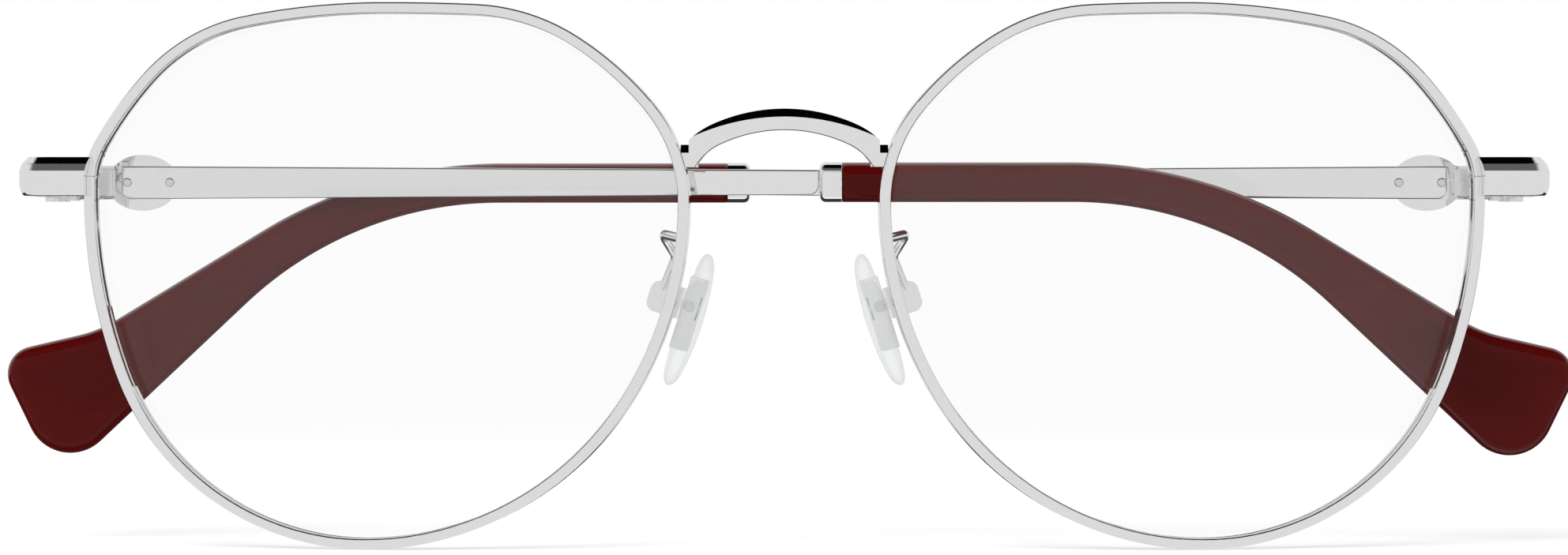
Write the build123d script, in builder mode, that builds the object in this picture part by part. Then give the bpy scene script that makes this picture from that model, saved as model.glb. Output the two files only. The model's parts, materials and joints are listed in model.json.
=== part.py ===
"""Metal full-rim eyeglasses with both temples folded behind the lenses.

Frame: +X to the wearer's left, -Y to the front, +Z up as worn. The origin is midway between the lenses, on
their boxing centre line, at the depth of the lens fronts' middles. Every piece is modelled on the wearer's
left (+X) and mirrored for the right. Temples are modelled open, straight back along +Y, and folded last.
"""

import os
from math import atan2, cos, degrees, radians, sin, sqrt

from build123d import *

# ---------------------------------------------------------------- lens outline
lens_width = 54.0
lens_height = 48.2
lens_gap = 18.6  # between the two lenses, nasal edge to nasal edge
temporal_height = 8.5  # where the outline is widest, above its middle
nasal_height = 6.5
top_shift = 0.4  # where the outline is highest, outwards from its middle
bottom_shift = 1.8
shoulder_radius = 6.8  # temporal corner, below the brow
shoulder_turn = 30.0
slope_radius = 35.2  # nearly straight stretch between shoulder and brow
slope_turn = 12.2
brow_turn = 37.0
nasal_brow_turn = 30.2
nasal_slope_radius = 29.2
nasal_slope_turn = 17.2
nasal_shoulder_radius = 13.7
nasal_shoulder_turn = 40.2
nasal_lower_turn = 27.3
temporal_lower_turn = 20.0

# ---------------------------------------------------------------- lens and rim sections
curve_radius = 130.0  # front surface of the lens
face_form = 4.0  # degrees that each lens turns back towards its temple
lens_thickness = 1.6
bevel_thickness = 0.7  # tongue on the lens edge
groove_depth = 0.4
rim_wall = 0.6  # metal outside the groove
rim_proud = 0.3  # rim beyond the lens, in front and behind
rim_round = 0.2
lens_fit = 0.03
braze_gap = 0.02
seat_gap = 0.1  # between faces that open, such as the split in the rim

# ---------------------------------------------------------------- closing block and its screw
block_width = 2.4
block_depth = 2.2
block_height = 3.4
closing_screw_radius = 0.4
closing_screw_head_radius = 0.6
closing_screw_head_height = 0.45
closing_screw_offset = 1.15  # from the rim to the screw's axis
thread_fit = 0.02
clearance_hole = 0.06

# ---------------------------------------------------------------- end piece
end_centre_z = 9.03
end_height = 3.55
end_thickness = 1.35
end_reach = 6.1  # outwards from the rim's widest point
end_overlap = 0.3  # laps over the rim's front
end_proud = 1.15  # stands in front of the rim
end_bend_radius = 2.6
end_crown_radius = 2.6  # its outer side bulges, seen from the front
end_facet_height = 0.65  # of each of the two facets along the top front edge
end_facet_depth = 0.6  # upper facet
end_facet_lead = 0.22  # lower, steeper facet
end_crease_round = 0.12
end_bottom_round = 0.3

# ---------------------------------------------------------------- hinge
hinge_z = 8.65
hinge_back = 6.85  # pivot behind the end piece's front face
knuckle_radius = 1.15
knuckle_air = 0.2  # from the knuckles to the plates beside them
middle_knuckle = 1.3
outer_knuckle = 1.1
knuckle_gap = 0.05
front_leaf_thickness = 0.58
front_leaf_length = 3.6
front_leaf_height = 2.8
rear_leaf_height = 2.4
rear_leaf_length = 3.3
butt_offset = 0.35  # end piece's rear end, behind the pivot
hinge_screw_radius = 0.5
hinge_screw_head_radius = 0.85
hinge_screw_head_height = 0.3
slot_width = 0.25
running_fit = 0.03

# ---------------------------------------------------------------- temple
temple_thickness = 1.4
temple_seat_thickness = 0.7  # thinned part that carries the hinge leaf
temple_front_height = 3.15
temple_rear_height = 2.3
temple_seat_length = 5.6  # pivot to the step
temple_step_round = 0.9
temple_edge_round = 0.2
temple_bar_length = 70.2  # pivot to the ferrule
ferrule_length = 2.1
ferrule_round = 0.6
tip_height = 3.7
tip_thickness = 3.0
tip_round = 1.1
core_wire_radius = 0.55
core_wire_fit = 0.02
core_straight = 22.0  # from the ferrule to the bend
core_bend_radius = 38.0
core_turn = 36.0  # degrees, of that bend
core_end = 12.0
tip_top_bend = (105.4, 43.0)  # way back from the pivot, radius
tip_bottom_bend = (107.3, 34.5)
tip_hip = (131.1, -13.75, 12.0)  # way back, height above the hinge, radius
tip_heel = (140.8, -16.0, 2.6)
tip_toe = (135.0, -27.9, 4.1)

# ---------------------------------------------------------------- plain trim plate and rivets
plate_length = 6.6
plate_height = 5.2
plate_thickness = 0.7
plate_place = 7.3  # plate's middle, behind the pivot
plate_round = 0.2
rivet_radius = 0.4
rivet_spacing = 3.95
rivet_place = 8.13  # midway between the rivets, behind the pivot
rivet_bite = 0.35  # into the plate
rivet_proud = 0.15
rivet_round = 0.12
rivet_fit = 0.02

# ---------------------------------------------------------------- bridge
bridge_top = 15.0
bridge_height = 1.95
bridge_thickness = 1.9
bridge_proud = 1.5  # in front of the rim
bridge_radius = 14.5
bridge_turn = 25.0  # from its middle to the tighter ends
bridge_end_x = 8.8
bridge_end_z = 10.2
bridge_width = 17.1  # its ends are cut upright
bridge_facet = 0.76  # middle width of the facet along its top front edge
bridge_facet_radius = 19.8  # of the facet's lower edge; flatter than the arch, so the facet runs out
bridge_low_round = 0.4
lug_width = 1.6
lug_top = 11.8
lug_height = 2.0
lug_depth = 2.0
lug_facet = 0.75

# ---------------------------------------------------------------- nose pads
pad_x = 8.5  # rocking axis
pad_y = 8.6
pad_z = -2.85
pad_tilt = 17.6  # degrees, top towards the nose
pad_splay = 4.0  # degrees, rear edge away from the nose
pad_length = 12.6
pad_depth = 7.0
pad_thickness = 1.85
pad_face = 1.3  # face's middle, from the rocking axis
pad_drop = 1.2  # pad's middle below the axis
pad_curve_radius = 30.0
pad_round = 0.2
core_length = 6.8
core_depth = 5.6
core_thickness = 1.3
core_drop = 0.65  # core's middle below the axis
core_slot_length = 2.2
core_slot_width = 1.3
core_fit = 0.02
pad_screw_radius = 0.35
pad_screw_head_radius = 0.5
pad_screw_head_height = 0.3
tongue_radius = 0.6
tongue_width = 1.2
stem_thickness = 1.0
box_gap = 0.36  # from the core to the box
box_wall = 0.87
box_height = 2.9
box_width = 2.2
arm_plate_length = 2.2
arm_plate_height = 2.9
arm_plate_thickness = 0.9
arm_plate_round = 0.9
arm_wire_rise = 0.7  # wire enters the plate above its middle
arm_wire_radius = 0.45
arm_root_z = 3.3
arm_loop = (11.1, 6.0, 3.8)
arm_knee = (9.9, 8.0, 1.8)
arm_bend_radius = 0.9

# ---------------------------------------------------------------- folded rest position
fold_air = 0.3  # between one folded temple's tip and the other's bar

# ---------------------------------------------------------------- places worked out from the sizes
lens_centre_x = lens_gap / 2 + lens_width / 2
temporal_way = (cos(radians(face_form)), sin(radians(face_form)), 0)
front_way = (sin(radians(face_form)), -cos(radians(face_form)), 0)
lens_plane = Plane(origin=(lens_centre_x, 0, 0), x_dir=temporal_way, z_dir=front_way)
curve_plane = Plane(
    origin=lens_plane.from_local_coords(Vector(0, 0, -curve_radius)),
    x_dir=-Vector(*front_way),
    z_dir=(0, 0, 1),
)
blank_depth = 12.0  # of the prisms that curved pieces are cut from, and of every cutter
blank_lead = 3.0  # how far they start in front of the lens plane
touch = 0.01  # an edge this near a face's level counts as lying on it
rim_front_radius = curve_radius + rim_proud
rim_back_radius = curve_radius - lens_thickness - rim_proud


def on_sphere(sphere_radius, across, height):
    """Point of a sphere round the lens's centre of curvature, in front of a place in the lens plane."""
    depth = sqrt(sphere_radius**2 - across**2 - height**2) - curve_radius
    return lens_plane.from_local_coords(Vector(across, height, depth))


def arc_step(heading, turn):
    """Way travelled, for a radius of 1, along an arc that turns left from a heading (degrees)."""
    before = radians(heading)
    after = radians(heading + turn)
    return Vector(sin(after) - sin(before), cos(before) - cos(after))


def quarter(start, end, heading, arcs):
    """Adds a quarter of the outline to the current line: tangent arcs from start to end.

    Each arc is (turn, radius). Two of the radii are None: they get the values that bring it to its end.
    """
    way = end - start
    open_steps = []
    step_heading = heading
    for turn, radius in arcs:
        step = arc_step(step_heading, turn)
        if radius is None:
            open_steps.append(step)
        else:
            way -= step * radius
        step_heading += turn
    first, second = open_steps
    area = first.cross(second).Z
    solved = [way.cross(second).Z / area, first.cross(way).Z / area]
    place = start
    for turn, radius in arcs:
        if radius is None:
            radius = solved.pop(0)
        tangent = (cos(radians(heading)), sin(radians(heading)))
        JernArc(start=place, tangent=tangent, radius=radius, arc_size=turn)
        place += arc_step(heading, turn) * radius
        heading += turn


def outline_face(grow, mode=Mode.ADD):
    """Adds the lens outline, moved outwards by grow, to the current sketch as one face."""
    side = lens_width / 2 + grow
    height = lens_height / 2 + grow
    temporal = Vector(side, temporal_height)
    top = Vector(top_shift, height)
    nasal = Vector(-side, nasal_height)
    bottom = Vector(bottom_shift, -height)
    top_turn = 90 - shoulder_turn - slope_turn - brow_turn
    nasal_top_turn = 90 - nasal_shoulder_turn - nasal_slope_turn - nasal_brow_turn
    with BuildLine() as outline:
        quarter(
            temporal,
            top,
            90,
            [
                (shoulder_turn, shoulder_radius + grow),
                (slope_turn, slope_radius + grow),
                (brow_turn, None),
                (top_turn, None),
            ],
        )
        quarter(
            top,
            nasal,
            180,
            [
                (nasal_top_turn, None),
                (nasal_brow_turn, None),
                (nasal_slope_turn, nasal_slope_radius + grow),
                (nasal_shoulder_turn, nasal_shoulder_radius + grow),
            ],
        )
        quarter(nasal, bottom, 270, [(nasal_lower_turn, None), (90 - nasal_lower_turn, None)])
        quarter(bottom, temporal, 0, [(90 - temporal_lower_turn, None), (temporal_lower_turn, None)])
    make_face(outline.edges(), mode=mode)


def keep_shell(outer_radius, inner_radius):
    """Keeps the current part only between two spheres round the lens's centre of curvature."""
    with Locations(curve_plane):
        Sphere(outer_radius, mode=Mode.INTERSECT)
        Sphere(inner_radius, mode=Mode.SUBTRACT)


def lens_shell(grow, outer_radius, inner_radius):
    """A curved sheet with the lens's outline, moved outwards by grow, between two spheres."""
    with BuildPart() as sheet:
        with BuildSketch(lens_plane.offset(blank_lead)):
            outline_face(grow)
        extrude(amount=-blank_depth)
        keep_shell(outer_radius, inner_radius)
    return sheet.part


def rim_ring(outside, inside, outer_radius, inner_radius):
    """A curved ring between two offsets of the lens's outline, between two spheres."""
    with BuildPart() as ring:
        with BuildSketch(lens_plane.offset(blank_lead)):
            outline_face(outside)
            outline_face(-inside, mode=Mode.SUBTRACT)
        extrude(amount=-blank_depth)
        keep_shell(outer_radius, inner_radius)
    return ring.part


bevel_front_radius = curve_radius - (lens_thickness - bevel_thickness) / 2
bevel_back_radius = bevel_front_radius - bevel_thickness
rim_side = on_sphere(curve_radius, lens_width / 2 + rim_wall, temporal_height)
rim_side_front = on_sphere(rim_front_radius, lens_width / 2 + rim_wall, temporal_height)
# The rim with no groove, grown by the braze gap, cuts the seat of each piece that is brazed to it.
rim_seat = rim_ring(
    rim_wall + braze_gap,
    groove_depth + braze_gap,
    rim_front_radius + braze_gap,
    rim_back_radius - braze_gap,
)

# ---------------------------------------------------------------- rim and lens
with BuildPart() as rim:
    add(rim_ring(rim_wall, groove_depth, rim_front_radius, rim_back_radius))
    for face_radius in (rim_front_radius, rim_back_radius):
        ring_face = rim.faces().filter_by(
            lambda face: face.geom_type == GeomType.SPHERE and abs(face.radius - face_radius) < touch
        )
        fillet(ring_face.edges(), rim_round)
    groove = lens_shell(lens_fit, bevel_front_radius + lens_fit, bevel_back_radius - lens_fit)
    add(groove, mode=Mode.SUBTRACT)
    with Locations((rim_side.X, rim_side.Y, end_centre_z)):
        Box(blank_depth, blank_depth, seat_gap, mode=Mode.SUBTRACT)

with BuildPart() as lens:
    add(lens_shell(-groove_depth - lens_fit, curve_radius, curve_radius - lens_thickness))
    add(lens_shell(0, bevel_front_radius, bevel_back_radius))

# ---------------------------------------------------------------- closing block, in two halves
end_front_y = rim_side_front.Y - end_proud
end_back_y = end_front_y + end_thickness
block_front_y = end_back_y + braze_gap
block_low_x = rim_side.X - groove_depth
block_high_x = rim_side.X + block_width
screw_x = rim_side.X + closing_screw_offset
screw_y = block_front_y + block_depth / 2
block_low_z = end_centre_z - block_height / 2


def block_half(low_z, high_z, front_y, hole_radius):
    """Half of the closing block: a small block with its screw hole, seated on the rim."""
    with BuildPart() as half:
        with BuildSketch(Plane.XY.offset(low_z)):
            with Locations((block_low_x, front_y)):
                Rectangle(
                    block_high_x - block_low_x,
                    block_front_y + block_depth - front_y,
                    align=(Align.MIN, Align.MIN),
                )
            with Locations((screw_x, screw_y)):
                Circle(hole_radius, mode=Mode.SUBTRACT)
        extrude(amount=high_z - low_z)
        add(rim_seat, mode=Mode.SUBTRACT)
    return half.part


upper_block = block_half(
    end_centre_z + seat_gap / 2,
    block_low_z + block_height,
    block_front_y,
    closing_screw_radius + thread_fit,
)
lower_block = block_half(
    block_low_z,
    end_centre_z - seat_gap / 2,
    block_front_y + seat_gap,
    closing_screw_radius + clearance_hole,
)

with BuildPart() as closing_screw:
    with Locations((screw_x, screw_y, block_low_z - thread_fit)):
        Cylinder(
            closing_screw_radius,
            block_height - seat_gap,
            align=(Align.CENTER, Align.CENTER, Align.MIN),
        )
    with Locations((screw_x, screw_y, block_low_z - thread_fit)):
        Cylinder(
            closing_screw_head_radius,
            closing_screw_head_height,
            align=(Align.CENTER, Align.CENTER, Align.MAX),
        )
    with Locations((screw_x, screw_y, block_low_z - thread_fit - closing_screw_head_height)):
        Box(blank_depth, slot_width, closing_screw_head_height, mode=Mode.SUBTRACT)

# ---------------------------------------------------------------- end piece
outer_x = rim_side.X + end_reach
leg_inner_x = outer_x - end_thickness
pivot_y = end_front_y + hinge_back
pivot_x = leg_inner_x - knuckle_radius - knuckle_air
butt_y = pivot_y + butt_offset
end_low_z = end_centre_z - end_height / 2
with BuildPart() as end_piece:
    with BuildLine(Plane.XY.offset(end_low_z)) as end_path:
        FilletPolyline(
            (lens_centre_x, end_front_y),
            (outer_x, end_front_y),
            (outer_x, butt_y),
            radius=end_bend_radius,
        )
    # Section: local x from the front face inwards, local y up.
    with BuildSketch(Plane(origin=end_path.line @ 0, x_dir=(0, 1, 0), z_dir=(1, 0, 0))) as end_section:
        with BuildLine():
            Polyline(
                (0, 0),
                (0, end_height - 2 * end_facet_height),
                (end_facet_lead, end_height - end_facet_height),
                (end_facet_lead + end_facet_depth, end_height),
                (end_thickness, end_height),
                (end_thickness, 0),
                close=True,
            )
        make_face()
        creases = end_section.vertices().filter_by(
            lambda corner: corner.Y > touch and corner.X < end_thickness - touch
        )
        fillet(creases, end_crease_round)
        fillet(end_section.vertices().sort_by_distance((0, 0, 0))[0], end_bottom_round)
    sweep(path=end_path.line)
    with BuildSketch(Plane.XZ):
        with Locations((outer_x - end_crown_radius, end_centre_z)):
            Circle(end_crown_radius)
            Rectangle(lens_width, 2 * end_crown_radius, align=(Align.MAX, Align.CENTER))
    extrude(amount=2 * blank_depth, both=True, mode=Mode.INTERSECT)
    with BuildSketch(lens_plane.offset(blank_lead)):
        outline_face(rim_wall - end_overlap)
    extrude(amount=-blank_depth, mode=Mode.SUBTRACT)
    add(rim_seat, mode=Mode.SUBTRACT)

# ---------------------------------------------------------------- hinge, front half: outer knuckles and leaf
pivot = Vector(pivot_x, pivot_y, hinge_z)
middle_half = middle_knuckle / 2
knuckle_start = middle_half + knuckle_gap
hinge_half_height = knuckle_start + outer_knuckle
with BuildPart() as hinge_front:
    with Locations(pivot):
        Cylinder(knuckle_radius, 2 * hinge_half_height)
    with Locations((leg_inner_x - braze_gap, pivot_y, hinge_z)):
        Box(
            front_leaf_thickness,
            front_leaf_length,
            front_leaf_height,
            align=(Align.MAX, Align.MAX, Align.CENTER),
        )
    with Locations(pivot):
        Cylinder(
            knuckle_radius + knuckle_air - braze_gap,
            2 * knuckle_start,
            mode=Mode.SUBTRACT,
        )
        Cylinder(hinge_screw_radius + thread_fit, 2 * hinge_half_height, mode=Mode.SUBTRACT)

# ---------------------------------------------------------------- hinge, rear half: middle knuckle and leaf
seat_x = outer_x - temple_seat_thickness
leaf_start = knuckle_radius + knuckle_air
with BuildPart() as hinge_rear:
    with Locations(pivot):
        Cylinder(knuckle_radius, middle_knuckle)
    with Locations((pivot_x, pivot_y + butt_offset + seat_gap, hinge_z)):
        Box(
            seat_x - braze_gap - pivot_x,
            leaf_start + seat_gap,
            middle_knuckle,
            align=(Align.MIN, Align.MIN, Align.CENTER),
        )
    with Locations((seat_x - braze_gap, pivot_y + leaf_start, hinge_z)):
        Box(
            temple_thickness - braze_gap,
            rear_leaf_length,
            rear_leaf_height,
            align=(Align.MAX, Align.MIN, Align.CENTER),
        )
    with Locations(pivot):
        Cylinder(hinge_screw_radius + running_fit, middle_knuckle, mode=Mode.SUBTRACT)

hinge_top_z = hinge_z + hinge_half_height
with BuildPart() as hinge_screw:
    with Locations(pivot):
        Cylinder(hinge_screw_radius, 2 * hinge_half_height)
    with Locations((pivot_x, pivot_y, hinge_top_z + thread_fit)):
        Cylinder(
            hinge_screw_head_radius,
            hinge_screw_head_height,
            align=(Align.CENTER, Align.CENTER, Align.MIN),
        )
    with Locations((pivot_x, pivot_y, hinge_top_z)):
        Cylinder(hinge_screw_radius, thread_fit, align=(Align.CENTER, Align.CENTER, Align.MIN))
    with Locations((pivot_x, pivot_y, hinge_top_z + thread_fit + hinge_screw_head_height)):
        Box(blank_depth, slot_width, hinge_screw_head_height, mode=Mode.SUBTRACT)

# ---------------------------------------------------------------- temple, modelled open
# Side view of the temple: local x runs back from the pivot, local y up, local z outwards.
side_plane = Plane(origin=(outer_x, pivot_y, hinge_z), x_dir=(0, 1, 0), z_dir=(1, 0, 0))
middle_plane = side_plane.offset(-temple_thickness / 2)
bar_start = butt_offset + seat_gap
tip_start = temple_bar_length + ferrule_length


def bar_half_height(way):
    """Half of the bar's height, which tapers from hinge to ferrule."""
    taper = (way - bar_start) / (temple_bar_length - bar_start)
    return (temple_front_height + (temple_rear_height - temple_front_height) * taper) / 2


def bar_profile(start, end):
    """Adds the bar's side view between two places to the current sketch."""
    with BuildLine() as profile:
        Polyline(
            (start, -bar_half_height(start)),
            (end, -bar_half_height(end)),
            (end, bar_half_height(end)),
            (start, bar_half_height(start)),
            close=True,
        )
    make_face(profile.edges())


def core_wire(radius, start, tail):
    """The wire that stiffens the tip: straight, then bent down with it."""
    with BuildPart() as wire:
        with BuildLine(middle_plane) as wire_path:
            run = Line((start, 0), (tip_start + core_straight, 0))
            bend = JernArc(start=run @ 1, tangent=run % 1, radius=core_bend_radius, arc_size=-core_turn)
            Line(bend @ 1, (bend @ 1) + (bend % 1) * tail)
        with BuildSketch(Plane(origin=run @ 0, z_dir=run % 0)):
            Circle(radius)
        sweep(path=wire_path.line)
    return wire.part


with BuildPart() as temple_bar:
    with BuildSketch(side_plane):
        bar_profile(bar_start, temple_bar_length)
    extrude(amount=-temple_seat_thickness)
    with BuildSketch(side_plane.offset(-temple_seat_thickness)) as thick_part:
        bar_profile(temple_seat_length, temple_bar_length)
        fillet(thick_part.vertices().sort_by(Axis.Y)[:2], temple_step_round)
    extrude(amount=-(temple_thickness - temple_seat_thickness))
    with Locations(side_plane):
        with Locations((rivet_place - rivet_spacing / 2, 0), (rivet_place + rivet_spacing / 2, 0)):
            Cylinder(rivet_radius + rivet_fit, blank_depth, mode=Mode.SUBTRACT)
    bar_edges = temple_bar.edges().filter_by(lambda edge: edge.length > temple_bar_length / 2)
    fillet(bar_edges, temple_edge_round)
    add(core_wire(core_wire_radius, temple_bar_length - temple_thickness, core_end))

across_plane = Plane(origin=middle_plane.origin, x_dir=(1, 0, 0), z_dir=(0, 1, 0))
with BuildPart() as ferrule:
    with BuildSketch(across_plane.offset(temple_bar_length + braze_gap)):
        RectangleRounded(tip_thickness, tip_height, tip_round)
    extrude(amount=ferrule_length - 2 * braze_gap)
    fillet(ferrule.faces().sort_by(Axis.Y)[0].edges(), ferrule_round)
    add(core_wire(core_wire_radius + core_wire_fit, temple_bar_length, core_end), mode=Mode.SUBTRACT)

with BuildPart() as temple_tip:
    with BuildSketch(middle_plane.offset(-tip_thickness / 2)):
        with BuildLine():
            FilletPolyline(
                (tip_start, tip_height / 2),
                (tip_top_bend[0], tip_height / 2),
                tip_hip[:2],
                tip_heel[:2],
                tip_toe[:2],
                (tip_bottom_bend[0], -tip_height / 2),
                (tip_start, -tip_height / 2),
                radius=[tip_top_bend[1], tip_hip[2], tip_heel[2], tip_toe[2], tip_bottom_bend[1]],
            )
            Line((tip_start, -tip_height / 2), (tip_start, tip_height / 2))
        make_face()
    extrude(amount=tip_thickness)
    tip_end = temple_tip.faces().sort_by(Axis.Y)[0]
    side_faces = temple_tip.faces().filter_by(Axis.X)
    long_edges = side_faces.edges() - tip_end.edges()
    fillet(long_edges, tip_round)
    add(
        core_wire(core_wire_radius + core_wire_fit, temple_bar_length, core_end + seat_gap),
        mode=Mode.SUBTRACT,
    )

# ---------------------------------------------------------------- plain trim plate and its rivets
with BuildPart() as trim_plate:
    with BuildSketch(side_plane.offset(braze_gap)):
        with Locations((plate_place, 0)):
            Ellipse(plate_length / 2, plate_height / 2)
    extrude(amount=plate_thickness)
    fillet(trim_plate.edges().sort_by(Axis.X)[-1], plate_round)
    with Locations(side_plane.offset(braze_gap)):
        with Locations((rivet_place - rivet_spacing / 2, 0), (rivet_place + rivet_spacing / 2, 0)):
            Cylinder(
                rivet_radius + rivet_fit,
                rivet_bite + rivet_fit,
                align=(Align.CENTER, Align.CENTER, Align.MIN),
                mode=Mode.SUBTRACT,
            )

with BuildPart() as trim_rivets:
    with Locations(side_plane.offset(braze_gap + rivet_bite)):
        with Locations((rivet_place - rivet_spacing / 2, 0), (rivet_place + rivet_spacing / 2, 0)):
            Cylinder(
                rivet_radius,
                rivet_bite + braze_gap + temple_thickness + rivet_proud,
                align=(Align.CENTER, Align.CENTER, Align.MAX),
            )
    fillet(trim_rivets.edges().sort_by(Axis.X)[:2], rivet_round)

# ---------------------------------------------------------------- bridge
nasal_x = on_sphere(curve_radius, -lens_width / 2 - rim_wall, bridge_end_z).X
nasal_front_y = on_sphere(rim_front_radius, -lens_width / 2 - rim_wall, bridge_end_z).Y
bridge_front_y = nasal_front_y - bridge_proud
bridge_middle_y = bridge_front_y + bridge_thickness / 2
facet_plane = Plane(
    origin=(0, bridge_front_y - blank_lead, bridge_top - bridge_facet - bridge_facet_radius),
    z_dir=(0, 1, 0),
)
with BuildPart() as bridge:
    with BuildLine(Plane.XZ.offset(-bridge_middle_y)) as half_arch:
        crown = JernArc(
            start=(0, bridge_top - bridge_height / 2),
            tangent=(1, 0),
            radius=bridge_radius,
            arc_size=-bridge_turn,
        )
        TangentArc(crown @ 1, (bridge_end_x, bridge_end_z), tangent=crown % 1)
    with BuildSketch(Plane.YZ.shift_origin(crown @ 0)) as section:
        Rectangle(bridge_thickness, bridge_height)
        fillet(section.vertices().sort_by(Axis.Y)[:2], bridge_low_round)
    sweep(path=half_arch.line)
    Box(bridge_width, blank_depth, 4 * bridge_top, mode=Mode.INTERSECT)
    with Locations(facet_plane):
        Cone(
            bridge_facet_radius - blank_lead,
            bridge_facet_radius - blank_lead + blank_depth,
            blank_depth,
            align=(Align.CENTER, Align.CENTER, Align.MIN),
            mode=Mode.INTERSECT,
        )
    with BuildSketch(Plane.YZ.offset(nasal_x - lug_width / 2)) as lug_side:
        with Locations((nasal_front_y + braze_gap, lug_top)):
            Rectangle(lug_depth, lug_height, align=(Align.MIN, Align.MAX))
        chamfer(lug_side.vertices().sort_by(Axis.Y)[-2:].sort_by(Axis.X)[0], lug_facet)
    extrude(amount=lug_width)
    add(rim_seat, mode=Mode.SUBTRACT)
    mirror(about=Plane.YZ)

# ---------------------------------------------------------------- nose pads
# The pad's own plane: local x to the front along the rocking axis, y up the pad, z towards the nose.
up_pad = Vector(-sin(radians(pad_tilt)), 0, cos(radians(pad_tilt)))
to_nose = Vector(-cos(radians(pad_tilt)), 0, -sin(radians(pad_tilt)))
to_nose = to_nose.rotate(Axis((0, 0, 0), up_pad), pad_splay)
pad_plane = Plane(origin=(pad_x, pad_y, pad_z), x_dir=up_pad.cross(to_nose), z_dir=to_nose)
axle_plane = Plane(origin=pad_plane.origin, x_dir=pad_plane.y_dir, z_dir=pad_plane.x_dir)
pad_curve_plane = Plane(
    origin=pad_plane.from_local_coords(Vector(0, -pad_drop, pad_face - pad_curve_radius)),
    x_dir=-pad_plane.z_dir,
    z_dir=pad_plane.y_dir,
)


with BuildPart() as pad_core:
    with Locations(pad_plane):
        with Locations((0, -core_drop, 0)):
            Box(core_depth, core_length, core_thickness)
        Box(core_slot_width, core_slot_length, blank_depth, mode=Mode.SUBTRACT)
    with Locations(axle_plane):
        Cylinder(pad_screw_radius + thread_fit, core_depth, mode=Mode.SUBTRACT)
    with Locations(axle_plane.offset(core_depth / 2)):
        Cylinder(
            pad_screw_head_radius + core_fit,
            pad_screw_head_height + core_fit,
            align=(Align.CENTER, Align.CENTER, Align.MAX),
            mode=Mode.SUBTRACT,
        )

with BuildPart() as nose_pad:
    with BuildSketch(pad_plane):
        with Locations((0, -pad_drop)):
            Ellipse(pad_depth / 2, pad_length / 2)
    extrude(amount=blank_depth, both=True)
    with Locations(pad_curve_plane):
        Sphere(pad_curve_radius, mode=Mode.INTERSECT)
    with Locations(pad_plane.offset(pad_face - pad_thickness)):
        Box(
            2 * pad_depth,
            2 * pad_length,
            blank_depth,
            align=(Align.CENTER, Align.CENTER, Align.MAX),
            mode=Mode.SUBTRACT,
        )
    fillet(nose_pad.edges(), pad_round)
    with Locations(pad_plane.offset(core_thickness / 2 + core_fit)):
        with Locations((0, -core_drop, 0)):
            Box(
                blank_depth,
                core_length + 2 * core_fit,
                blank_depth,
                align=(Align.CENTER, Align.CENTER, Align.MAX),
                mode=Mode.SUBTRACT,
            )

box_front = core_thickness / 2 + box_gap
with BuildPart() as pad_box:
    with Locations(axle_plane):
        Cylinder(tongue_radius, tongue_width)
    with Locations(pad_plane):
        Box(
            tongue_width,
            stem_thickness,
            box_front + box_wall,
            align=(Align.CENTER, Align.CENTER, Align.MAX),
        )
    with Locations(pad_plane.offset(-box_front)):
        Box(box_width, box_height, box_wall, align=(Align.CENTER, Align.CENTER, Align.MAX))
    with Locations(axle_plane):
        Cylinder(pad_screw_radius + running_fit, tongue_width, mode=Mode.SUBTRACT)

with BuildPart() as pad_screw:
    with Locations(axle_plane.offset(-core_depth / 2)):
        Cylinder(
            pad_screw_radius,
            core_depth - pad_screw_head_height,
            align=(Align.CENTER, Align.CENTER, Align.MIN),
        )
    with Locations(axle_plane.offset(core_depth / 2)):
        Cylinder(
            pad_screw_head_radius,
            pad_screw_head_height,
            align=(Align.CENTER, Align.CENTER, Align.MAX),
        )
        Box(
            slot_width,
            blank_depth,
            pad_screw_head_height / 2,
            align=(Align.CENTER, Align.CENTER, Align.MAX),
            mode=Mode.SUBTRACT,
        )

arm_plate_middle = -box_front - box_wall - braze_gap - arm_plate_length / 2
arm_end = pad_plane.from_local_coords(Vector(0, arm_wire_rise, arm_plate_middle))
# The arm's root stands on the middle of the rim's back, wherever the outline runs at that height.
with BuildPart() as arm_footing:
    add(rim_ring(rim_wall, groove_depth, rim_front_radius, rim_back_radius))
    with Locations((nasal_x, 0, arm_root_z)):
        Box(blank_depth, 2 * blank_depth, rim_wall, mode=Mode.INTERSECT)
footing = lens_plane.to_local_coords(arm_footing.part.center())
arm_root = on_sphere(rim_back_radius + arm_wire_radius / 2, footing.X, arm_root_z)
with BuildPart() as pad_arm:
    with BuildSketch(axle_plane.offset(-arm_plate_thickness / 2)) as arm_plate:
        with Locations((0, arm_plate_middle)):
            Rectangle(arm_plate_height, arm_plate_length)
        fillet(arm_plate.vertices().sort_by(Axis.Y)[:2], arm_plate_round)
    extrude(amount=arm_plate_thickness)
    with BuildLine() as arm_path:
        FilletPolyline(arm_root, arm_loop, arm_knee, arm_end, radius=arm_bend_radius)
    with BuildSketch(Plane(origin=arm_path.line @ 0, z_dir=arm_path.line % 0)):
        Circle(arm_wire_radius)
    sweep(path=arm_path.line)
    add(rim_seat, mode=Mode.SUBTRACT)

# ---------------------------------------------------------------- right and left pieces, folded and written
os.makedirs("parts", exist_ok=True)
hinge_axis = Axis(pivot, (0, 0, 1))
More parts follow.
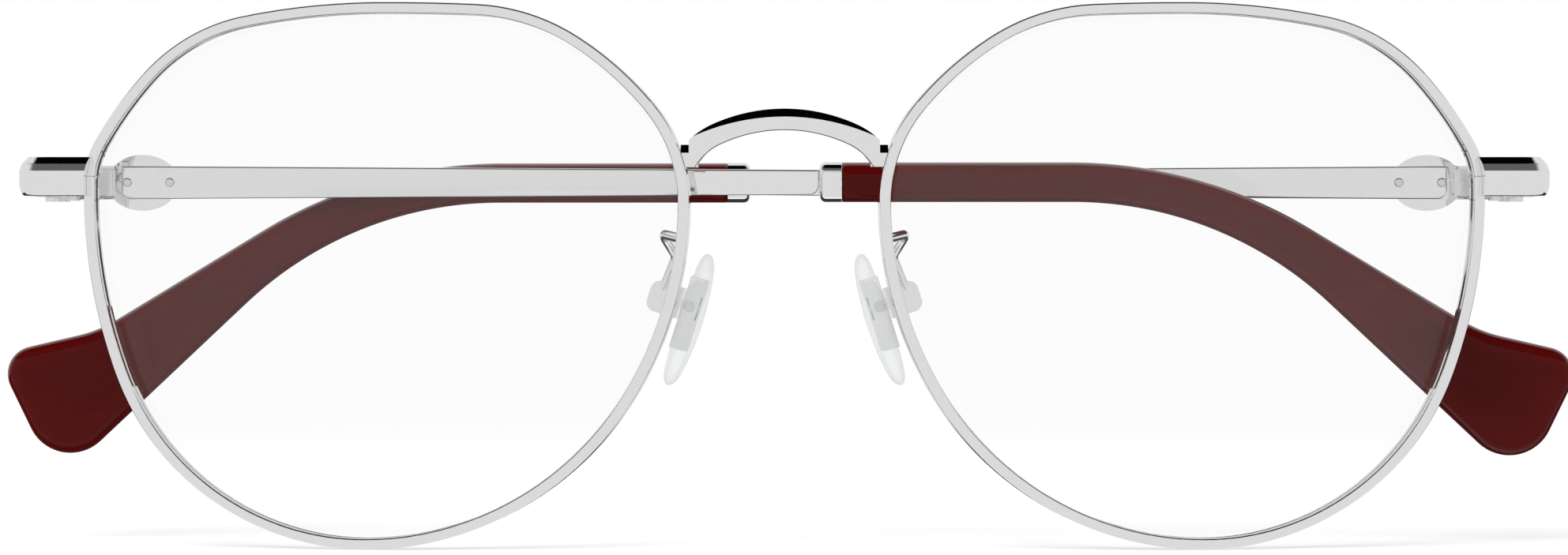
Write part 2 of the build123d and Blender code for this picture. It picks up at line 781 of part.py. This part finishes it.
# Folded, the temples lie parallel, one over the other. Each one's tip lies over the other's bar, or over its
# ferrule if the bars don't reach past the middle. Half of both thicknesses fits between their middle planes.
under_tip = temple_thickness if temple_bar_length > pivot_x else tip_thickness
fold_offset = (tip_thickness + under_tip) / 2 + fold_air
fold_spread = degrees(atan2(fold_offset, 2 * pivot_x))
front_pieces = {
    "rim": rim.part,
    "lens": lens.part,
    "end_piece": end_piece.part,
    "upper_closing_block": upper_block,
    "lower_closing_block": lower_block,
    "closing_screw": closing_screw.part,
    "front_hinge_half": hinge_front.part,
    "hinge_screw": hinge_screw.part,
    "pad_arm": pad_arm.part,
    "pad_box": pad_box.part,
    "pad_screw": pad_screw.part,
    "pad_core": pad_core.part,
    "nose_pad": nose_pad.part,
}
temple_pieces = {
    "temple_bar": temple_bar.part,
    "rear_hinge_half": hinge_rear.part,
    "ferrule": ferrule.part,
    "temple_tip": temple_tip.part,
    "trim_plate": trim_plate.part,
    "trim_rivets": trim_rivets.part,
}


def write(piece, name):
    """Labels a finished piece and writes its STEP file."""
    piece.label = name
    export_step(piece, f"parts/{name}.step")


write(bridge.part, "bridge")
for name, piece in front_pieces.items():
    write(piece, f"left_{name}")
    write(piece.mirror(Plane.YZ), f"right_{name}")
for name, piece in temple_pieces.items():
    write(piece.rotate(hinge_axis, 90 - fold_spread), f"left_{name}")
    write(piece.rotate(hinge_axis, 90 + fold_spread).mirror(Plane.YZ), f"right_{name}")
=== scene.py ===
"""Polished wire eyeglasses, folded, in a white studio."""

import json

import bmesh
import bpy
import numpy as np
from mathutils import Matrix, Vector


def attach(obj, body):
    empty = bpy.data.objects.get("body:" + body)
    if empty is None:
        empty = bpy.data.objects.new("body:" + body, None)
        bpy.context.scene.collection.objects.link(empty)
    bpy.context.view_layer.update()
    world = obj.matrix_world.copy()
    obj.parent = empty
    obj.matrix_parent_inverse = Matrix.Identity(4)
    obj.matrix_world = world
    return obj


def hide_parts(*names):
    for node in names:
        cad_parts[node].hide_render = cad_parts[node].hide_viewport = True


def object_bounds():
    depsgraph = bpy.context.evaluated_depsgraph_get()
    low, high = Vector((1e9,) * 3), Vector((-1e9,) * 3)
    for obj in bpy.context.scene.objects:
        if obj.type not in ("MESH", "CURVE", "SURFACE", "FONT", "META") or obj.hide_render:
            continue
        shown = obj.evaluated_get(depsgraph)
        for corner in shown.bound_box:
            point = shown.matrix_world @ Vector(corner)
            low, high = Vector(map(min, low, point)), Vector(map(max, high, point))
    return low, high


MM = 0.001
WHITE = (1, 1, 1, 1)

# ---------------------------------------------------------------- the frame and the camera
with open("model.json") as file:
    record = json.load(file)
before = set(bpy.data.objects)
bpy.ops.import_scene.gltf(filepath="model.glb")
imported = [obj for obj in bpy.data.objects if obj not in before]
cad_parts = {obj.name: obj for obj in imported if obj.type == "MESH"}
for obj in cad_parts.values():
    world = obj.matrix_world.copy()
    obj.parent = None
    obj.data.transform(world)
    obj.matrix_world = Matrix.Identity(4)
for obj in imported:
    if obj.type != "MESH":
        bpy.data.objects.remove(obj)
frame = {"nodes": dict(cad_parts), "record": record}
cad_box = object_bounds()

CAMERA_DISTANCE = 345 * MM
CAMERA_SIDE = -0.035 * MM
CAMERA_HEIGHT = -0.154 * MM
LENS_MM = 88.49
SENSOR_MM = 36.0


class Socket:
    """One node output, with Python's operators turned into Math nodes."""

    def __init__(self, tree, output):
        self.tree = tree
        self.output = output

    @staticmethod
    def add(tree, kind, settings=None, inputs=None, output=0):
        """Adds a node: its settings first, then the value or link of each socket, by name or by place."""
        node = tree.nodes.new(kind)
        for name, value in (settings or {}).items():
            setattr(node, name, value)
        pairs = inputs.items() if isinstance(inputs, dict) else enumerate(inputs or [])
        for name, value in pairs:
            if isinstance(value, Socket):
                tree.links.new(value.output, node.inputs[name])
            else:
                node.inputs[name].default_value = value
        return Socket(tree, node.outputs[output]) if node.outputs else None

    def math(self, operation, *others):
        return Socket.add(self.tree, "ShaderNodeMath", {"operation": operation}, [self, *others])

    def __add__(self, other):
        return self.math("ADD", other)

    def __radd__(self, other):
        return self.math("ADD", other)

    def __sub__(self, other):
        return self.math("SUBTRACT", other)

    def __rsub__(self, other):
        return Socket.add(self.tree, "ShaderNodeMath", {"operation": "SUBTRACT"}, [other, self])

    def __mul__(self, other):
        return self.math("MULTIPLY", other)

    def __rmul__(self, other):
        return self.math("MULTIPLY", other)


def new_material(name):
    material = bpy.data.materials.new(name)
    material.use_nodes = True
    material.node_tree.nodes.clear()
    return material, material.node_tree


def finish_material(tree, surface):
    Socket.add(tree, "ShaderNodeOutputMaterial", None, {"Surface": surface})


def noise(tree, place, scale, detail, roughness):
    """Soft noise between 0 and 1, with a middle of about a half."""
    inputs = {"Vector": place, "Scale": scale, "Detail": detail, "Roughness": roughness}
    return Socket.add(tree, "ShaderNodeTexNoise", None, inputs)


def mix_colors(tree, factor, low, high):
    """The colour low where the factor is 0, high where it is 1."""
    inputs = {"Factor": factor, "A": low, "B": high}
    return Socket.add(tree, "ShaderNodeMix", {"data_type": "RGBA"}, inputs, "Result")


def emission(tree, strength):
    return Socket.add(tree, "ShaderNodeEmission", None, {"Color": WHITE, "Strength": strength})


def smoothstep(value, low, high):
    """0 below low, 1 above high, and smooth between them."""
    return Socket.add(
        value.tree,
        "ShaderNodeMapRange",
        {"interpolation_type": "SMOOTHSTEP"},
        {"Value": value, "From Min": low, "From Max": high, "To Min": 0.0, "To Max": 1.0},
    )


# ---------------------------------------------------------------- finishes
POLISH_SPREAD = 0.3  # share of a metal's roughness that comes and goes
LENS_FACE_ON = 0.026  # share of light that a lens face mirrors when seen square on
LENS_CLEAR = (0.99, 0.99, 0.99, 1)
SILICONE_CLEAR = (0.985, 0.99, 0.99, 1)
SILICONE_MILK = (0.8, 0.815, 0.82, 1)
DARK_BURGUNDY = (0.056, 0.0016, 0.0012, 1)
LIGHT_BURGUNDY = (0.072, 0.0022, 0.0018, 1)
# painted light: a lighter red for the tip's rounded border, standing in for light that shines through the thin
# edge
EDGE_PAINTED_LIGHT_BURGUNDY = (0.078, 0.0023, 0.0021, 1)


def metal(name, color, roughness, metallic=1.0):
    """Polished plating, with the faint unevenness that hand polishing leaves; less metallic is satin."""
    material, tree = new_material(name)
    place = Socket.add(tree, "ShaderNodeTexCoord", None, None, "Object")
    waves = noise(tree, place, 900.0, 2.0, 0.5)
    surface = Socket.add(
        tree,
        "ShaderNodeBsdfPrincipled",
        None,
        {
            "Base Color": (*color, 1),
            "Metallic": metallic,
            "Roughness": waves * (2 * roughness * POLISH_SPREAD) + roughness * (1 - POLISH_SPREAD),
        },
    )
    finish_material(tree, surface)
    return material


def lens_glass(name):
    """Clear plastic: nearly all light goes straight through, and each face mirrors a little.

    The mirrored share is F + (1 - F)(1 - c)^5, where c is the cosine of the angle to the face and F is
    LENS_FACE_ON.
    """
    material, tree = new_material(name)
    through = Socket.add(tree, "ShaderNodeBsdfTransparent", None, {"Color": LENS_CLEAR})
    gloss = Socket.add(tree, "ShaderNodeBsdfGlossy", None, {"Color": WHITE, "Roughness": 0.02})
    facing = Socket.add(tree, "ShaderNodeLayerWeight", None, {"Blend": 0.5}, "Facing")
    mirrored = facing.math("POWER", 5.0) * (1 - LENS_FACE_ON) + LENS_FACE_ON
    surface = Socket.add(tree, "ShaderNodeMixShader", None, [mirrored, through, gloss])
    finish_material(tree, surface)
    return material


def silicone(name):
    """Clear soft silicone: light goes straight through its middle, and its edges look milky."""
    material, tree = new_material(name)
    through = Socket.add(tree, "ShaderNodeBsdfTransparent", None, {"Color": SILICONE_CLEAR})
    place = Socket.add(tree, "ShaderNodeTexCoord", None, None, "Object")
    haze = noise(tree, place, 420.0, 3.0, 0.5)
    facing = Socket.add(tree, "ShaderNodeLayerWeight", None, {"Blend": 0.5}, "Facing")
    body = Socket.add(
        tree,
        "ShaderNodeBsdfPrincipled",
        None,
        {"Base Color": SILICONE_MILK, "Roughness": haze * 0.1 + 0.12, "IOR": 1.41},
    )
    milkiness = facing * 0.3 + haze * 0.03 + 0.11
    surface = Socket.add(tree, "ShaderNodeMixShader", None, [milkiness, through, body])
    finish_material(tree, surface)
    return material


def acetate(name):
    """Polished burgundy acetate: faint cloudy layers, a lighter red painted along the rounded border as painted
    light for the light that shines through the thin edge, and a glossy rim.

    The edge_depth attribute is 0 at the outline and 1 from twice the rounded border's width inwards.
    """
    material, tree = new_material(name)
    place = Socket.add(tree, "ShaderNodeTexCoord", None, None, "Object")
    layers = {"Vector": place, "Scale": (1.0, 3.0, 2.2), "Rotation": (0, 0.35, 0)}
    cloud = noise(tree, Socket.add(tree, "ShaderNodeMapping", None, layers), 90.0, 4.0, 0.55)
    depth = Socket.add(tree, "ShaderNodeAttribute", {"attribute_name": "edge_depth"}, None, "Fac")
    deep = mix_colors(tree, smoothstep(cloud, 0.35, 0.65), DARK_BURGUNDY, LIGHT_BURGUNDY)
    # painted light: the border gets the lighter edge red, and the painted glow fades out towards the middle
    color = mix_colors(tree, smoothstep(depth, 0.1, 0.8), EDGE_PAINTED_LIGHT_BURGUNDY, deep)
    surface = Socket.add(
        tree,
        "ShaderNodeBsdfPrincipled",
        None,
        {
            "Base Color": color,
            "Roughness": cloud * 0.05 + 0.045,
            "IOR": 1.2,
            "Coat Weight": 1 - smoothstep(depth, 0.05, 0.17),
            "Coat Roughness": 0.06,
            "Coat IOR": 1.5,
        },
    )
    finish_material(tree, surface)
    return material


FINISHES = {
    "polished_metal": metal("polished_metal", (0.90, 0.90, 0.90), 0.05),
    "hinge_metal": metal("hinge_metal", (0.87, 0.87, 0.87), 0.14, 0.6),
    "screw_steel": metal("screw_steel", (0.76, 0.76, 0.77), 0.12),
    "clear_lens": lens_glass("clear_lens"),
    "pad_silicone": silicone("pad_silicone"),
    "burgundy_acetate": acetate("burgundy_acetate"),
}
for entry in frame["record"]["subparts"]:
    node = frame["nodes"][entry["node"]]
    node.data.materials.clear()
    node.data.materials.append(FINISHES[entry["material_slot"]])


# ---------------------------------------------------------------- shaped pieces
MERGE_DISTANCE = 1e-7


def rounded_path(corners, radii, arc_points):
    """A line through the corners, each inner one rounded by an arc.

    The arc's centre is on the corner's bisector, radius / sin(half angle) away. Its points are the two
    spokes to its ends, mixed by sin((1 - q) turn) / sin(turn) and sin(q turn) / sin(turn).
    """
    corners = np.array(corners, float)
    pieces = [corners[:1]]
    share = np.linspace(0, 1, arc_points)[:, None]
    for before, corner, after, radius in zip(corners, corners[1:], corners[2:], radii):
        back = (before - corner) / np.linalg.norm(before - corner)
        ahead = (after - corner) / np.linalg.norm(after - corner)
        half = np.arccos(back @ ahead) / 2
        centre = corner + (back + ahead) / np.linalg.norm(back + ahead) * radius / np.sin(half)
        first = corner + back * radius / np.tan(half) - centre
        last = corner + ahead * radius / np.tan(half) - centre
        turn = np.pi - 2 * half
        pieces.append(centre + (np.sin((1 - share) * turn) * first + np.sin(share * turn) * last) / np.sin(turn))
    pieces.append(corners[-1:])
    return np.concatenate(pieces)


def along(path, share):
    """Points of a path at shares of its length, by linear interpolation over the length travelled."""
    travelled = np.concatenate([[0], np.cumsum(np.linalg.norm(np.diff(path, axis=0), axis=1))])
    travelled /= travelled[-1]
    return np.stack([np.interp(share, travelled, path[:, axis]) for axis in range(path.shape[1])], -1)


def distance_to(path, points):
    """Least distance from each point to the path: to the nearest place of each run, then the least."""
    start = path[:-1]
    run = np.diff(path, axis=0)
    offset = points[..., None, :] - start
    share = np.clip((offset * run).sum(-1) / np.maximum((run * run).sum(-1), 1e-12), 0, 1)
    return np.linalg.norm(offset - share[..., None] * run, axis=-1).min(-1)


def grid_faces(rows, columns, first=0, closed=False):
    """Quads of a grid of rows by columns of vertices; a closed grid joins its last column to its first."""
    index = first + np.arange(rows * columns).reshape(rows, columns)
    if closed:
        index = np.concatenate([index, index[:, :1]], axis=1)
    return np.stack([index[:-1, :-1], index[:-1, 1:], index[1:, 1:], index[1:, :-1]], -1).reshape(-1, 4)


def make_piece(name, points, faces, layers=None):
    """A smooth mesh object from vertices in metres, with its doubles merged and its faces outwards."""
    mesh = bpy.data.meshes.new(name)
    mesh.from_pydata(points.reshape(-1, 3).tolist(), [], faces.tolist())
    for layer, values in (layers or {}).items():
        mesh.attributes.new(layer, "FLOAT", "POINT").data.foreach_set("value", values.ravel())
    work = bmesh.new()
    work.from_mesh(mesh)
    bmesh.ops.remove_doubles(work, verts=work.verts, dist=MERGE_DISTANCE)
    bmesh.ops.recalc_face_normals(work, faces=work.faces)
    work.to_mesh(mesh)
    work.free()
    mesh.polygons.foreach_set("use_smooth", np.ones(len(mesh.polygons), bool))
    piece = bpy.data.objects.new(name, mesh)
    bpy.context.scene.collection.objects.link(piece)
    return piece


# Temple tip, in its temple's side view: way back from the hinge, height above it (mm).
TIP_START = 72.3
TIP_HALF_HEIGHT = 1.85
TIP_CORNERS = [
    (TIP_START, TIP_HALF_HEIGHT),
    (105.4, TIP_HALF_HEIGHT),
    (131.1, -13.75),
    (140.8, -16.0),
    (135.0, -27.9),
    (107.3, -TIP_HALF_HEIGHT),
    (TIP_START, -TIP_HALF_HEIGHT),
]
TIP_RADII = [43.0, 12.0, 2.6, 4.1, 34.5]  # at its inner corners: bend, hip, heel, toe and lower bend
TIP_ARC_POINTS = 41
TIP_OFFSET = 2.0  # its middle plane, outwards from the hinge axis
TIP_HALF_THICKNESS = 1.5
TIP_THINNER = 0.3  # how much thinner each half is at the paddle's end
TIP_THIN_START = 120.0  # where the thinning starts, way back from the hinge
TIP_THIN_LENGTH = 20.0
TIP_EDGE = 1.55  # width of the rounded border
TIP_EDGE_STEPS = 10
TIP_ROWS = 150  # along the tip
TIP_COLUMNS = 22  # across it


def tip_surface():
    """Points of a pillow-shaped tip, front and back, with each one's depth from the edge.

    The side view is a Coons patch between the top line, the bottom line, the straight start and the
    paddle's end: P(s, v) = (1 - v) top + v bottom + (1 - s) start + s end - the corners' bilinear mix. The
    half thickness at depth d is H sqrt(1 - (1 - d / E)^2) over a border E wide, and H thins to the end.
    """
    outline = rounded_path(TIP_CORNERS, TIP_RADII, TIP_ARC_POINTS)
    heel = 1 + 2 * TIP_ARC_POINTS + TIP_ARC_POINTS // 2
    toe = heel + TIP_ARC_POINTS
    top, end, bottom = outline[: heel + 1], outline[heel : toe + 1], outline[toe:][::-1]
    border = TIP_EDGE * (1 - np.cos(np.linspace(0, np.pi / 2, TIP_EDGE_STEPS)))
    length = np.linalg.norm(np.diff(bottom, axis=0), axis=1).sum()
    s = np.concatenate([np.linspace(0, 1 - TIP_EDGE / length, TIP_ROWS)[:-1], 1 - border[::-1] / length])
    top_line, bottom_line = along(top, s), along(bottom, s)
    width = np.linalg.norm(top_line - bottom_line, axis=1)[:, None]
    inner = np.linspace(0, 1, TIP_COLUMNS)[None, 1:-1]
    lead = TIP_EDGE / width
    v = np.concatenate([border / width, lead + inner * (1 - 2 * lead), 1 - border[::-1] / width], axis=1)
    v_column, s_column = v[..., None], s[:, None, None]
    start = top[0] + v_column * (bottom[0] - top[0])
    corners = (1 - s_column) * start + s_column * (top[-1] + v_column * (bottom[-1] - top[-1]))
    side = (1 - v_column) * top_line[:, None] + v_column * bottom_line[:, None]
    side += (1 - s_column) * start + s_column * along(end, v) - corners
    depth = distance_to(outline, side)
    fade = np.clip((side[..., 0] - TIP_THIN_START) / TIP_THIN_LENGTH, 0, 1)
    half = TIP_HALF_THICKNESS - TIP_THINNER * fade * fade * (3 - 2 * fade)
    half = half * np.sqrt(1 - (1 - np.minimum(depth / TIP_EDGE, 1)) ** 2)
    return side, half, depth


def make_tip(side_name, mirror):
    """The tip surface, turned about its hinge from open to folded.

    For a point w outwards and b back from the hinge, x = w cos a - b sin a and y = w sin a + b cos a.
    """
    joint = next(j for j in frame["record"]["behaviour"]["joints"] if j["name"] == f"{side_name}_temple_hinge")
    fold = np.radians(joint["range_deg"][1])
    hinge = np.array(joint["pos_m"]) * (mirror, 1, 1)
    side, half, depth = tip_surface()
    rows, columns = half.shape
    sheets = []
    for face in (1, -1):
        outwards = (TIP_OFFSET + face * half) * MM
        back = side[..., 0] * MM
        x = outwards * np.cos(fold) - back * np.sin(fold)
        y = outwards * np.sin(fold) + back * np.cos(fold)
        sheets.append(np.stack([x, y, side[..., 1] * MM], -1) + hinge)
    points = np.stack(sheets).reshape(-1, 3) * (mirror, 1, 1)
    faces = [grid_faces(rows, columns), grid_faces(rows, columns, rows * columns)[:, ::-1]]
    faces.append(grid_faces(2, columns) + np.array([0, 0, rows * columns - columns, rows * columns - columns]))
    layers = {"edge_depth": np.tile(np.minimum(depth / (2 * TIP_EDGE), 1).ravel(), 2)}
    piece = make_piece(f"{side_name}_polished_tip", points, np.concatenate(faces), layers)
    piece.data.materials.append(FINISHES["burgundy_acetate"])
    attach(piece, f"{side_name}_temple")
    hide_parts(f"{side_name}_temple_tip")


# Nose pad, in its own plane: across to the front, up the pad, and out towards the nose (mm).
PAD_AXIS = (8.5, 8.6, -2.85)  # a point of the left pad's rocking axis, in the frame
PAD_TILT = np.radians(17.6)  # top towards the nose
PAD_SPLAY = np.radians(4.0)  # rear edge away from the nose
PAD_HALF_DEPTH = 3.5
PAD_HALF_LENGTH = 6.3
PAD_DROP = 1.2  # its middle, below the axis
PAD_FACE = 1.3  # its face's middle, from the axis towards the nose
PAD_BACK = -0.55
PAD_CURVE = 30.0  # radius of the face
PAD_EDGE = 0.55  # width of the rounded border
PAD_EDGE_STEPS = 9
PAD_RINGS = 12  # inside the border
PAD_COLUMNS = 96  # round the oval


def pad_surface():
    """Points of a flat-backed, crowned oval: radius q and angle a, (A q cos a, B q sin a).

    The face stands at F - r^2 / 2R, where r is the distance from the oval's middle. Over the border, face
    and back close in on the middle of the edge by sqrt(1 - (1 - d / E)^2) of their distance from it.
    """
    angle = np.linspace(0, 2 * np.pi, PAD_COLUMNS, endpoint=False)[None]
    border = PAD_EDGE * (1 - np.cos(np.linspace(0, np.pi / 2, PAD_EDGE_STEPS)))
    inner = np.linspace(1 - PAD_EDGE / PAD_HALF_DEPTH, 0, PAD_RINGS)[1:]
    q = np.concatenate([1 - border / PAD_HALF_DEPTH, inner])[:, None]
    across = PAD_HALF_DEPTH * q * np.cos(angle)
    up = PAD_HALF_LENGTH * q * np.sin(angle)
    closing = np.sqrt(1 - (1 - np.minimum((1 - q) * PAD_HALF_DEPTH / PAD_EDGE, 1)) ** 2)
    face = PAD_FACE - (across**2 + up**2) / (2 * PAD_CURVE)
    middle = (face + PAD_BACK) / 2
    half = (face - PAD_BACK) / 2 * closing
    return across, up - PAD_DROP, middle, half


def make_pad(side_name, mirror):
    """The pad surface, placed on its rocking axis: along the pad's own three ways."""
    up_way = np.array([-np.sin(PAD_TILT), 0, np.cos(PAD_TILT)])
    flat_way = np.array([-np.cos(PAD_TILT), 0, -np.sin(PAD_TILT)])
    nose_way = flat_way * np.cos(PAD_SPLAY) + np.cross(up_way, flat_way) * np.sin(PAD_SPLAY)
    front_way = np.cross(up_way, nose_way)
    across, up, middle, half = pad_surface()
    rows, columns = across.shape
    sheets = []
    for face in (1, -1):
        out = middle + face * half
        sheets.append(across[..., None] * front_way + up[..., None] * up_way + out[..., None] * nose_way)
    points = (np.stack(sheets).reshape(-1, 3) + PAD_AXIS) * MM * (mirror, 1, 1)
    faces = np.concatenate([
        grid_faces(rows, columns, closed=True),
        grid_faces(rows, columns, rows * columns, closed=True)[:, ::-1],
    ])
    piece = make_piece(f"{side_name}_clear_pad", points, faces)
    piece.data.materials.append(FINISHES["pad_silicone"])
    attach(piece, f"{side_name}_pad")
    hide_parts(f"{side_name}_nose_pad")


for side_name, mirror in (("left", 1), ("right", -1)):
    make_tip(side_name, mirror)
    make_pad(side_name, mirror)

# ---------------------------------------------------------------- white studio
FLOOR_HALF = 30.0
FLOOR_COLOR = (0.9, 0.9, 0.9, 1)
FLOOR_GLOW = 0.2  # what the lit floor gives off by itself, to the eye
FADE = (0.13, 0.34)  # how far from the origin the lit floor turns into even white
AMBIENT_LEVEL = 0.78  # what lights the matt surfaces from all around
GREY_START = (0.46, 0.54)  # height of a reflected way, as a sine, where the grey band starts
BLACK_START = (0.80, 0.88)  # and where the black ceiling starts
FRONT_LEVEL = 0.78  # what gloss sees in front of the object
GREY_LEVEL = 0.15  # share of that level in the grey band
BACK_START = (0.14, 0.30)  # how far back a reflected way runs, as a share, where white starts again
WHITE_START = (2 * MM, 4 * MM)  # y of the floor's white strip below the object, as gloss sees it
WHITE_LEVEL = 1.1
SHADE_START = (8 * MM, 13 * MM)  # y where the dark strip behind that starts, and where it ends
SHADE_END = (70 * MM, 110 * MM)
SHADE_LEVEL = 0.04
KEY_PLACE = (-0.3, -0.5, 0.6)  # to the wearer's right, in front and above, in metres
KEY_SIZE = 0.6
KEY_WATTS = 3.0


def kind_of_ray(tree, name):
    """1 for rays of that kind, such as "Is Glossy Ray", and 0 for all others."""
    return Socket.add(tree, "ShaderNodeLightPath", None, None, name)


def part_of(tree, vector, axis):
    return Socket.add(tree, "ShaderNodeSeparateXYZ", None, [vector], axis)


def make_floor():
    """A flat white floor at the lowest point: a square sheet, z = lowest.

    The eye sees it lit and shadowed near the object, and even white further off. Gloss sees strips across
    it instead, which draw the light and dark lines along the polished metal.
    """
    low = cad_box[0][2]
    corners = FLOOR_HALF * np.array([(-1, -1, 0), (1, -1, 0), (1, 1, 0), (-1, 1, 0)], float)
    corners[:, 2] = low
    mesh = bpy.data.meshes.new("floor")
    mesh.from_pydata(corners.tolist(), [], [(0, 1, 2, 3)])
    floor = bpy.data.objects.new("floor", mesh)
    bpy.context.scene.collection.objects.link(floor)
    material, tree = new_material("floor_white")
    seen = kind_of_ray(tree, "Is Camera Ray").math("MAXIMUM", kind_of_ray(tree, "Is Transmission Ray"))
    place = Socket.add(tree, "ShaderNodeTexCoord", None, None, "Object")
    behind = part_of(tree, place, "Y")
    level = smoothstep(behind, *WHITE_START) * (WHITE_LEVEL - FRONT_LEVEL) + FRONT_LEVEL
    level = level - smoothstep(behind, *SHADE_START) * (WHITE_LEVEL - SHADE_LEVEL)
    level = level + smoothstep(behind, *SHADE_END) * (FRONT_LEVEL - SHADE_LEVEL)
    matt = Socket.add(tree, "ShaderNodeBsdfDiffuse", None, {"Color": FLOOR_COLOR})
    near = Socket.add(tree, "ShaderNodeAddShader", None, [matt, emission(tree, seen * FLOOR_GLOW)])
    away = Socket.add(tree, "ShaderNodeVectorMath", {"operation": "LENGTH"}, [place], "Value")
    pale = Socket.add(tree, "ShaderNodeMixShader", None, [smoothstep(away, *FADE), near, emission(tree, 1.0)])
    factor = kind_of_ray(tree, "Is Glossy Ray")
    surface = Socket.add(tree, "ShaderNodeMixShader", None, [factor, pale, emission(tree, level)])
    finish_material(tree, surface)
    mesh.materials.append(material)


def make_world():
    """White to the eye. Gloss sees a bright front and back, and between them a grey band and a black ceiling."""
    world = bpy.data.worlds.new("studio")
    bpy.context.scene.world = world
    world.use_nodes = True
    tree = world.node_tree
    tree.nodes.clear()
    glossy = kind_of_ray(tree, "Is Glossy Ray")
    diffuse = kind_of_ray(tree, "Is Diffuse Ray")
    way = Socket.add(tree, "ShaderNodeTexCoord", None, None, "Generated")
    up = part_of(tree, way, "Z")
    grey_start = smoothstep(up, *GREY_START)
    black_start = smoothstep(up, *BLACK_START)
    ceiling = 1 - smoothstep(part_of(tree, way, "Y"), *BACK_START)
    level = 1 - ceiling * (grey_start * (1 - GREY_LEVEL) + black_start * GREY_LEVEL)
    level = glossy * level * FRONT_LEVEL + diffuse * AMBIENT_LEVEL + (1 - glossy.math("MAXIMUM", diffuse))
    back = Socket.add(tree, "ShaderNodeBackground", None, {"Color": WHITE, "Strength": level})
    Socket.add(tree, "ShaderNodeOutputWorld", None, {"Surface": back})


def make_key_lamp():
    """A soft square lamp that faces the origin and doesn't show in gloss."""
    data = bpy.data.lights.new("key", "AREA")
    data.size = KEY_SIZE
    data.energy = KEY_WATTS
    lamp = bpy.data.objects.new("key", data)
    bpy.context.scene.collection.objects.link(lamp)
    lamp.location = KEY_PLACE
    lamp.rotation_euler = (-Vector(KEY_PLACE)).to_track_quat("-Z", "Y").to_euler()
    lamp.visible_glossy = False


def make_camera():
    """It looks straight along +Y, from CAMERA_DISTANCE in front."""
    data = bpy.data.cameras.new("camera")
    data.lens = LENS_MM
    data.sensor_width = SENSOR_MM
    data.clip_start = 1 * MM
    camera = bpy.data.objects.new("camera", data)
    bpy.context.scene.collection.objects.link(camera)
    camera.location = (CAMERA_SIDE, -CAMERA_DISTANCE, CAMERA_HEIGHT)
    camera.rotation_euler = (np.pi / 2, 0, 0)
    bpy.context.scene.camera = camera


make_floor()
make_world()
make_key_lamp()
make_camera()
bpy.context.scene.view_settings.view_transform = "Standard"
